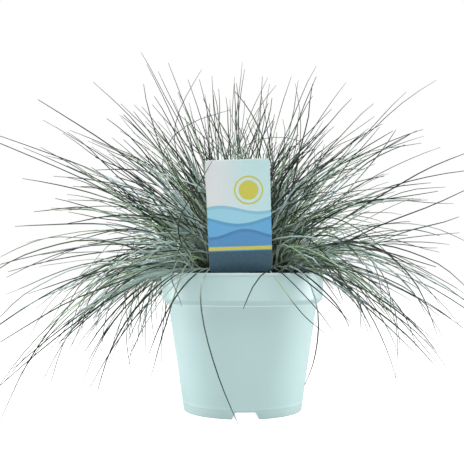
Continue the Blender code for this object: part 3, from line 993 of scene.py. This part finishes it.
size = maths(locks, "POWER", chance(0.0, 1.0, 2), given["Rarity"])
size = {"Value": size, "To Min": given["Shortest"], "To Max": LONGEST}
size = add(locks, "ShaderNodeMapRange", size)
grown = scaled_by(vector_maths(locks, "SUBTRACT", position, root), size)
wild = maths(locks, "POWER", chance(0.0, 1.0, 4), 5.0)  # near 1 for a few leaves only
looser = maths(locks, "MULTIPLY_ADD", wild, 1.5, maths(locks, "SUBTRACT", 2.0, size))
angles = product(locks, given["Fan"], looser)
angles = scaled_by(chance(*BOTH_WAYS, 3, "FLOAT_VECTOR"), angles)
fanned = {"Vector": grown, "Rotation": angles}
fanned = add(locks, "ShaderNodeVectorRotate", fanned, rotation_type="EULER_XYZ")
print("leaf locks: fanned,", len(locks.nodes), "nodes")

# %% Leaf locks: bend, droop and wave
RIPPLES = 2.4  # along a leaf
NOISE_STEP = 3.7  # from leaf to leaf, so that no two wave alike

toward_tip = maths(locks, "POWER", share, 2.0)
much = maths(locks, "MULTIPLY_ADD", wild, 3.0, 1.0)  # a few bend up to four times as much
bend = product(locks, given["Bend"], much, length, toward_tip)
bent = scaled_by(chance((-1.0, -1.0, -0.8), (1.0, 1.0, 0.4), 5, "FLOAT_VECTOR"), bend)

drop = product(locks, given["Droop"], length, chance(0.0, -1.0, 8), toward_tip)
outward = vector_maths(locks, "MULTIPLY", position, (1.0, 1.0, 0.0))
outward = vector_maths(locks, "NORMALIZE", outward)
inward = scaled_by(outward, chance(0.0, 0.6, 9))  # a leaf that drops comes in a little too
dropped = scaled_by(vector_maths(locks, "ADD", inward, (0.0, 0.0, 1.0)), drop)

ripple = (product(locks, share, RIPPLES), product(locks, leaf, NOISE_STEP), given["Seed"])
ripple = {"Vector": joined(locks, *ripple), "Scale": 1.0, "Detail": 1.0}
ripple = add(locks, "ShaderNodeTexNoise", ripple)
ripple = vector_maths(locks, "SUBTRACT", ripple.outputs["Color"], (0.5, 0.5, 0.5))
waved = scaled_by(ripple, product(locks, share, 4.0, given["Wave"]))

place = joined(locks, root_x, root_y, root_z)
for part in (fanned, bent, dropped, waved):
    place = vector_maths(locks, "ADD", place, part)
moved = add(locks, "GeometryNodeSetPosition", {"Geometry": many, "Position": place})
print("leaf locks: moved,", len(locks.nodes), "nodes")

# %% [markdown]
# ## The leaves: which are in the way
#
# A lock that is grown by chance has leaves where no real leaf can be. Each rule here is a mask on a
# leaf's points, 1 where the point is bad, and a leaf with a bad point is taken out whole. Cutting
# it short instead would leave blunt ends. Some rules are about solid things. The others keep the
# picture's clear parts clear, and measure from the camera as width or height over distance.

# %% Leaf locks: solid things
FLOOR_ROOM = 4 * MM
SKIN = 1.3 * MM
CARD_ROOM = 2 * MM
CARD_SKIN = 3 * MM
ROOT_SHARE = 0.06  # this much of a leaf counts as its root, which may stand in the soil


def both(*masks):
    return product(locks, *masks)


def either(*masks):
    mask = masks[0]
    for other in masks[1:]:
        mask = maths(locks, "MAXIMUM", mask, other)
    return mask


def under(value, limit):
    return maths(locks, "LESS_THAN", value, limit)


def over(value, limit):
    return maths(locks, "GREATER_THAN", value, limit)


x, y, z = split(locks, position)
radius = from_axis(locks, x, y)
wall = {"From Max": SHOULDER_Z, "To Min": FOOT_RADIUS, "To Max": SHOULDER_RADIUS}
wall = add(locks, "ShaderNodeMapRange", {"Value": z, "From Min": 0.0, **wall})
wall = either(wall, product(locks, over(z, SHOULDER_Z - SKIN), RIM_RADIUS))
in_pot = both(under(z, POT_HEIGHT + SKIN), under(radius, maths(locks, "ADD", wall, SKIN)))
in_headspace = both(under(radius, SOIL_EDGE - SKIN), over(z, SOIL_Z + 0.5 * MM))
at_root = under(share, ROOT_SHARE)
blocked = both(in_pot, maths(locks, "SUBTRACT", 1.0, either(in_headspace, at_root)))

outside = under(z, FLOOR_ROOM)
for value, lowest, highest in zip((x, y, z), *cad_box):
    outside = either(outside, under(value, lowest), over(value, highest))

upright = vector_maths(locks, "SUBTRACT", position, tuple(CARD_FOOT))
for angle, axis in ((-CARD_LEAN, "X_AXIS"), (-CARD_ROLL, "Y_AXIS")):
    turned_back = {"Vector": upright, "Angle": angle}
    upright = add(locks, "ShaderNodeVectorRotate", turned_back, rotation_type=axis)
card_x, card_y, card_z = split(locks, upright)
through = both(
    under(maths(locks, "ABSOLUTE", card_x), CARD_WIDTH / 2 + CARD_ROOM),
    under(card_z, CARD_HEIGHT + CARD_ROOM),
    over(card_z, -2 * CARD_ROOM),
    under(maths(locks, "ABSOLUTE", card_y), CARD_SKIN),
)
print("leaf locks: solid things,", len(locks.nodes), "nodes")

# %% Leaf locks: clear parts of the picture
POT_VIEW_HALF = 0.076  # half the pot's clear front
POT_VIEW_TOP = 0.004
CARD_VIEW_HALF = 0.040
CARD_VIEW_TOP = 0.150
TOP_VIEW = 0.295  # the clump's top as the picture shows it
RIGHT_SLOPE, RIGHT_START, RIGHT_TOP = -1.6, 0.16, -0.01  # the line that the clump ends along
FRONT_Y = -40 * MM
RIGHT_X = 60 * MM
GAP_X = 10 * MM

depth = maths(locks, "SUBTRACT", y, CAMERA_PLACE.y)
from_middle = maths(locks, "DIVIDE", maths(locks, "SUBTRACT", x, CARD_FOOT.x), depth)
from_middle = maths(locks, "ABSOLUTE", from_middle)
seen_z = maths(locks, "DIVIDE", maths(locks, "SUBTRACT", z, CAMERA_PLACE.z), depth)
before_card = both(
    under(card_y, 0.0),
    under(from_middle, CARD_VIEW_HALF),
    over(seen_z, 0.0),
    under(seen_z, CARD_VIEW_TOP),
)
before_pot = both(
    over(radius, RIM_RADIUS),
    under(y, FRONT_Y),
    under(from_middle, POT_VIEW_HALF),
    under(seen_z, POT_VIEW_TOP),
)
# low on the right the clump ends along a slanting line
seen_x = maths(locks, "DIVIDE", x, depth)
right_edge = maths(locks, "MULTIPLY_ADD", seen_x, RIGHT_SLOPE, RIGHT_START)
bare_side = both(over(x, RIGHT_X), under(seen_z, right_edge), under(seen_z, RIGHT_TOP))
# and it is thinner on some sides, where a share of the leaves is missing
luck = chance(0.0, 1.0, 10)
thin_right = both(at_root, over(x, GAP_X), under(luck, given["Right gaps"]))
thin_left = both(at_root, under(x, -GAP_X), under(luck, given["Left gaps"]))
too_high = over(seen_z, TOP_VIEW)

bad = either(
    blocked, outside, through, before_card, before_pot, bare_side, thin_right, thin_left, too_high
)
bad = {"Value": both(bad, given["Prune"]), "Group ID": leaf}
bad = add(locks, "GeometryNodeAccumulateField", bad, data_type="FLOAT").outputs["Total"]
kept = {"Geometry": moved, "Selection": over(bad, 0.5)}
kept = add(locks, "GeometryNodeDeleteGeometry", kept, domain="POINT")
print("leaf locks: pruned,", len(locks.nodes), "nodes")

# %% Leaf locks: sweep the leaves
swept = add(locks, "GeometryNodeResampleCurve", {"Curve": kept, "Count": LEAF_POINTS})
thin = maths(locks, "SUBTRACT", 1.0, maths(locks, "POWER", share, 3.0))
thin = {
    "Value": maths(locks, "POWER", thin, 0.8),
    "To Min": given["Tip radius"],
    "To Max": given["Root radius"],
}
thickness = product(locks, add(locks, "ShaderNodeMapRange", thin), chance(0.7, 1.15, 6))
kept_values = {"along": share, "tone": chance(given["Darkest"], given["Palest"], 7)}
for name, value in kept_values.items():
    stored = {"Geometry": swept, "Name": name, "Value": value}
    swept = add(locks, "GeometryNodeStoreNamedAttribute", stored)
section = add(locks, "GeometryNodeCurvePrimitiveCircle", {"Resolution": 3, "Radius": 1.0})
tube = {"Curve": swept, "Profile Curve": section, "Scale": thickness, "Fill Caps": True}
swept = add(locks, "GeometryNodeCurveToMesh", tube)
swept = add(locks, "GeometryNodeSetShadeSmooth", {"Geometry": swept})
swept = add(locks, "GeometryNodeRealizeInstances", {"Geometry": swept})
finished = {"Geometry": swept, "Material": given["Finish"]}
feed(locks, result, "Geometry", add(locks, "GeometryNodeSetMaterial", finished))
print("leaf locks: whole tree,", len(locks.nodes), "nodes")

# %% [markdown]
# ## The leaves: finish
#
# Blue fescue is green under a pale bloom of wax. The wax is thickest near the root and wears off
# along the leaf, and the far part is coloured near black: partly the bare leaf, and partly painted
# shade for the dark look of a leaf against the light. The wax is patchy, some leaves have little of
# it and look olive, and some are dry at the tip. Deep in the clump, and at the root, the leaves are
# darkened as painted shade. Every leaf carries its tone and the place along it as attributes, so
# that one material gives them all, and multiples of the tone serve as more chance numbers.

# %% Leaf finish: wax, and bare leaf darkened as painted shade
WAX_BLUE = (0.38, 0.51, 0.49)
WAX_GREEN = (0.34, 0.48, 0.27)
WAX_THICK = (0.52, 0.64, 0.61)
BARE_LEAF_IN_PAINTED_SHADE = (0.014, 0.027, 0.019)
OLIVE = (0.12, 0.17, 0.07)
STRAW = (0.20, 0.16, 0.09)
SHADE = (0.016, 0.02, 0.012)

leaf_finish, tree, shader = new_material("glaucous fescue leaf", 0.4, specular=0.25)
tone = add(tree, "ShaderNodeAttribute", attribute_name="tone").outputs["Fac"]
along = add(tree, "ShaderNodeAttribute", attribute_name="along").outputs["Fac"]


def other_chance(factor):
    """Another number from 0 to 1 for each leaf."""
    return maths(tree, "FRACT", maths(tree, "MULTIPLY", tone, factor))


bloom = add_group(tree, patches, Size=0.012, Contrast=2.2)
coated = maths(tree, "MULTIPLY_ADD", other_chance(11.9), 0.35, 0.3)
coated = maths(tree, "MULTIPLY_ADD", coated, between(tree, tone, 0.2, 0.6), 0.1)
waxy = between(tree, maths(tree, "SUBTRACT", along, coated), 0.25, 0.0)
wax = mixed(tree, between(tree, other_chance(5.1), 0.55, 0.75), WAX_BLUE, WAX_GREEN)
# past the wax the leaf is near black: partly the bare leaf, partly painted shade for a leaf seen
# against the light
colour = mixed(tree, waxy, BARE_LEAF_IN_PAINTED_SHADE, wax)
colour = mixed(tree, product(tree, bloom, waxy, 0.4), colour, WAX_THICK)
colour = mixed(tree, product(tree, between(tree, tone, 0.13, 0.05), 0.6), colour, OLIVE)
dry_tip = product(tree, between(tree, along, 0.90, 0.99), between(tree, tone, 0.55, 0.75))
colour = mixed(tree, dry_tip, colour, STRAW)
print("leaf colours:", len(tree.nodes), "nodes")

# %% Leaf finish: shade at the root and deep in the clump
# painted shade: the root part of each leaf, and the leaves deep in the clump, are darkened towards
# the shade colour
shaded_part = maths(tree, "MULTIPLY_ADD", other_chance(7.3), 0.15, 0.03)
x, y, z = split(tree, add(tree, "ShaderNodeTexCoord").outputs["Object"])
deep = between(tree, from_axis(tree, x, y), 0.07, 0.03)
deep = product(tree, deep, between(tree, z, 0.26, 0.17), 0.8)
shaded = maths(tree, "MAXIMUM", between(tree, along, shaded_part, 0.02), deep)
feed(tree, shader, "Base Color", mixed(tree, shaded, colour, SHADE))
feed(tree, shader, "Roughness", maths(tree, "MULTIPLY_ADD", bloom, 0.2, 0.32))
add_bump(tree, shader, 0.7 * MM, 0.1, 0.3, 0.05 * MM)
print("finish:", leaf_finish.name)

# %% [markdown]
# ## The leaves: more guides
#
# A few leaves give the clump its character, and chance wouldn't grow them: those that arch out
# beside the label's foot, and those that hang over the rim. They take the form of the single leaves
# at the pot's front. A copy of such a guide is turned about the pot, spread outward and drawn out,
# which is quicker than drawing each line and keeps them natural.

# %% More guides: helper
HELD = 4  # the points of a guide, from the root, that aren't drawn out


def swung(pattern, degrees, spread, reach, lift=0.0):
    """A copy of a guide: its turn, how far its tip is spread outward, how far its end is drawn
    out, and how far its middle is lifted."""
    turn = Matrix.Rotation(math.radians(degrees), 3, "Z")
    line = []
    for i, point in enumerate(pattern):
        part = i / (len(pattern) - 1)
        outward = 1 + (spread - 1) * part**2
        held = pattern[HELD - 1]
        placed = point if i < HELD else held + (point - held) * reach
        raised = placed.z + lift * 4 * part * (1 - part)
        line.append(turn @ Vector((placed.x * outward, placed.y * outward, raised)))
    return line


# %% More guides: beside the single leaves
# how far to the side, in mm, the real leaf lies from its solid at each point of the guide
ASIDE = {"stray_leaf_1": (0, 0, 0, 5, 5, -5, 0), "stray_leaf_2": (0, 0, 0, 0, 0, 7, 0)}
for node, shifts in ASIDE.items():
    for point, shift in zip(guides[node][0], shifts):
        point.x += shift * MM
# a second leaf hangs beside the third one: its distance in mm to the side and up
BESIDE = ((0, 0), (-2, 0), (-4, -2), (-6, -3), (-8, -7), (-10, -7), (-5, -3))
third = guides["stray_leaf_3"]
third.append([p + Vector((dx * MM, 0, dz * MM)) for p, (dx, dz) in zip(third[0], BESIDE)])

# each row is a copy: its turn in degrees, spread and reach, and the lift of the arching ones
LOW_ARCHES = (
    ("tiller_38", "stray_leaf_3", ((18, 1.3, 0.3, 40 * MM), (30, 1.5, 0.2, 50 * MM))),
    ("tiller_48", "stray_leaf_5", ((-6, 1.3, 0.35, 35 * MM), (-18, 1.5, 0.2, 50 * MM))),
)
HANGING_LEFT = (
    (-5, 1.05, 1.0), (-10, 1.1, 1.35), (-15, 1.0, 0.85), (-22, 0.9, 1.5), (-27, 1.05, 1.2),
    (-30, 1.1, 1.0), (-31, 0.95, 1.5), (-34, 1.4, 1.5), (-38, 1.3, 0.9), (-45, 1.4, 1.3),
    (-52, 1.3, 1.1),
)
HANGING_RIGHT = (
    (9, 1.1, 0.9), (17, 0.95, 1.0), (24, 1.2, 0.7), (28, 1.2, 1.7), (31, 1.0, 1.0),
    (38, 1.15, 0.8), (40, 1.2, 1.9), (46, 1.0, 0.9), (52, 1.3, 1.6),
)
for node, pattern, rows in (
    *LOW_ARCHES,
    ("stray_leaf_5", "stray_leaf_5", HANGING_LEFT),
    ("stray_leaf_3", "stray_leaf_3", HANGING_RIGHT),
):
    guides[node] += [swung(guides[pattern][0], *row) for row in rows]
print("guides now:", sum(map(len, guides.values())))

# %% [markdown]
# ## The leaves: grow them
#
# The tillers were planted in rings, the upright ones first, and the outer ones lie down over the
# rim. Each run of tillers that look alike is one piece of mesh, so that no piece is too heavy, and
# each piece stands for its tillers.

# %% Helpers that grow a piece
def guide_object(name, lines):
    """The guides as one mesh of edges, a line of points for each."""
    points = [tuple(point) for line in lines for point in line]
    edges = []
    start = 0
    for line in lines:
        edges += [(start + i, start + i + 1) for i in range(len(line) - 1)]
        start += len(line)
    mesh = bpy.data.meshes.new(name)
    mesh.from_pydata(points, edges, [])
    return new_object(name, mesh)


def grow(name, lines, nodes=(), **values):
    """A piece of leaves along these lines, in place of these CAD shoots."""
    start = guide_object(name + "_guides", lines)
    hand_over(with_nodes(start, locks, name, Finish=leaf_finish, **values), "leaf", *nodes)


def lines_of(nodes):
    return [line for node in nodes for line in guides[node]]


# %% Grow the tillers' leaves
# a row for each piece: its name, its last tiller, leaves per guide, the shortest leaf's share of
# its guide, how rare long leaves are, how far the leaves fan out in radians, how far they droop,
# and the shares of leaves that are missing on the left and on the right
RINGS = (
    ("heart_leaves", 7, 8, 0.3, 0.8, 0.24, 0.0, 0.0, 0.25),
    ("inner_leaves", 16, 12, 0.25, 1.0, 0.32, 0.05, 0.0, 0.2),
    ("middle_leaves", 27, 10, 0.2, 1.7, 0.50, 0.2, 0.15, 0.2),
    ("outer_leaves", 37, 6, 0.25, 1.9, 0.50, 0.45, 0.45, 0.1),
    ("right_front_leaves", 38, 14, 0.2, 1.5, 0.42, 0.5, 0.0, 0.0),
    ("right_skirt_leaves", 43, 14, 0.5, 0.8, 0.3, 0.6, 0.4, 0.0),
    ("hanging_leaves", 45, 16, 0.6, 0.6, 0.22, 0.4, 0.0, 0.0),
    ("left_skirt_leaves", 47, 6, 0.6, 0.6, 0.25, 0.5, 0.0, 0.0),
    ("left_front_leaves", 48, 8, 0.25, 1.0, 0.38, 0.5, 0.0, 0.0),
)
COLUMNS = ("Leaves_per_guide", "Shortest", "Rarity", "Fan", "Droop", "Left_gaps", "Right_gaps")
first_tiller = 1
for number, (name, last_tiller, *row) in enumerate(RINGS):
    nodes = [f"tiller_{i:02d}" for i in range(first_tiller, last_tiller + 1)]
    first_tiller = last_tiller + 1
    grow(name, lines_of(nodes), nodes, Seed=31 + number, **dict(zip(COLUMNS, row)))

# %% [markdown]
# ## The leaves: single ones
#
# The leaves that cross the pot's front and the card are seen one by one, so each follows its guide
# with no chance in it but its tone, its thickness and a little of its length. The longest leaves
# are grown singly too, because a lock grown by chance seldom has a leaf that follows its guide to
# the tip. A few more stand out of the clump's top by their own bend, two of them bent right over.

# %% Grow the single leaves
TALL = 350 * MM  # a guide whose tip is over this height gets a leaf of its own
APART = (  # a row for each leaf: its points in mm
    (
        (-8, -5, 159), (-16, -8, 200), (-15, -10, 245), (-3, -12, 280), (28, -14, 291),
        (57, -16, 287), (72, -18, 276),
    ),
    ((-25, 0, 157), (-60, 0, 215), (-78, -2, 255), (-73, -4, 284), (-45, -6, 306), (-6, -8, 318)),
    ((-15, -5, 158), (-40, -10, 222), (-66, -16, 282), (-92, -22, 326), (-116, -26, 364)),
    ((-8, 4, 159), (-32, 10, 235), (-56, 14, 314), (-76, 16, 379)),
    ((-20, 4, 158), (-50, 8, 228), (-69, 10, 274), (-73, 12, 307), (-64, 14, 338), (-42, 18, 379)),
    ((-4, 8, 160), (-7, 14, 230), (-9, 20, 300), (-12, 26, 382)),
)
strays = [f"stray_leaf_{i}" for i in range(1, 7)]
tillers = [name for name in guides if "tiller" in name]
longest = [line for line in lines_of(tillers) if line[-1].z > TALL]
longest += [[Vector(point) * MM for point in row] for row in APART]
singly = {"Leaves_per_guide": 1, "Prune": False}
grow(
    "crossing_leaves", lines_of(strays), strays, **singly,
    Shortest=1.0, Root_scatter=0.0, Fan=0.0, Bend=0.0, Wave=0.0, Smoothing=1, Seed=45,
    Root_radius=0.9 * MM, Tip_radius=0.35 * MM, Darkest=0.2, Palest=0.55,
)
grow(
    "longest_leaves", longest, **singly,
    Shortest=0.95, Root_scatter=6 * MM, Fan=0.03, Bend=0.03, Wave=2 * MM, Smoothing=2, Seed=46,
    Root_radius=0.75 * MM, Darkest=0.1, Palest=0.6,
)

# %% [markdown]
# ## The studio
#
# The plant was photographed against white, with light from all round and a little more from above,
# from the front and from both sides. A pale world gives the soft light, and four big soft lamps the
# direction. To the camera the world and the floor are plain white. To the plant they are dimmer,
# because that much light from everywhere would wash out its shadows.

# %% Floor
FLOOR_HALF = 6.0
FLOOR_Z = -0.3 * MM
WHITE = (1.0, 1.0, 1.0, 1.0)

floor_mesh = bmesh.new()
bmesh.ops.create_grid(floor_mesh, x_segments=1, y_segments=1, size=FLOOR_HALF)
floor_finish, tree, shader = new_material("pale studio floor", 0.8, specular=0.1)
faint = add_group(tree, patches, Size=0.5, Contrast=0.5)
feed(tree, shader, "Base Color", mixed(tree, faint, (0.54, 0.54, 0.54), (0.57, 0.57, 0.57)))
shader.inputs["Emission Color"].default_value = WHITE
seen = add(tree, "ShaderNodeLightPath").outputs["Is Camera Ray"]
feed(tree, shader, "Emission Strength", seen)
floor = add_object("studio_floor", floor_mesh, floor_finish)
floor.location.z = FLOOR_Z
print("floor, across in m:", 2 * FLOOR_HALF)

# %% World and lamps
AMBIENT = 0.3
IN_GLOSS = 0.7  # how bright the world is in a glossy reflection

world = bpy.data.worlds.new("white studio")
world.use_nodes = True
tree = world.node_tree
backdrop = tree.nodes["Background"]
backdrop.inputs["Color"].default_value = WHITE
rays = add(tree, "ShaderNodeLightPath").outputs
glossy = product(tree, rays["Is Glossy Ray"], IN_GLOSS)
bright = maths(tree, "MAXIMUM", rays["Is Camera Ray"], glossy)
feed(tree, backdrop, "Strength", maths(tree, "MAXIMUM", bright, AMBIENT))
bpy.context.scene.world = world
bpy.context.scene.view_settings.view_transform = "Standard"


def soft_lamp(name, place, aim, size, power):
    lamp = bpy.data.lights.new(name, "AREA")
    lamp.shape = "DISK"
    lamp.size = size
    lamp.energy = power
    made = new_object(name, lamp)
    made.location = place
    made.rotation_euler = (Vector(aim) - Vector(place)).to_track_quat("-Z", "Y").to_euler()


soft_lamp("key_lamp", (0.1, -0.45, 1.7), (0, 0, 0.2), 0.8, 30)
soft_lamp("left_lamp", (-1.35, 0.35, 0.25), (0, 0, 0.08), 0.6, 20)
soft_lamp("right_lamp", (1.35, 0.35, 0.25), (0, 0, 0.08), 0.6, 18)
soft_lamp("front_lamp", (0, -1.6, 0.2), (0, 0, 0.08), 1.2, 8)
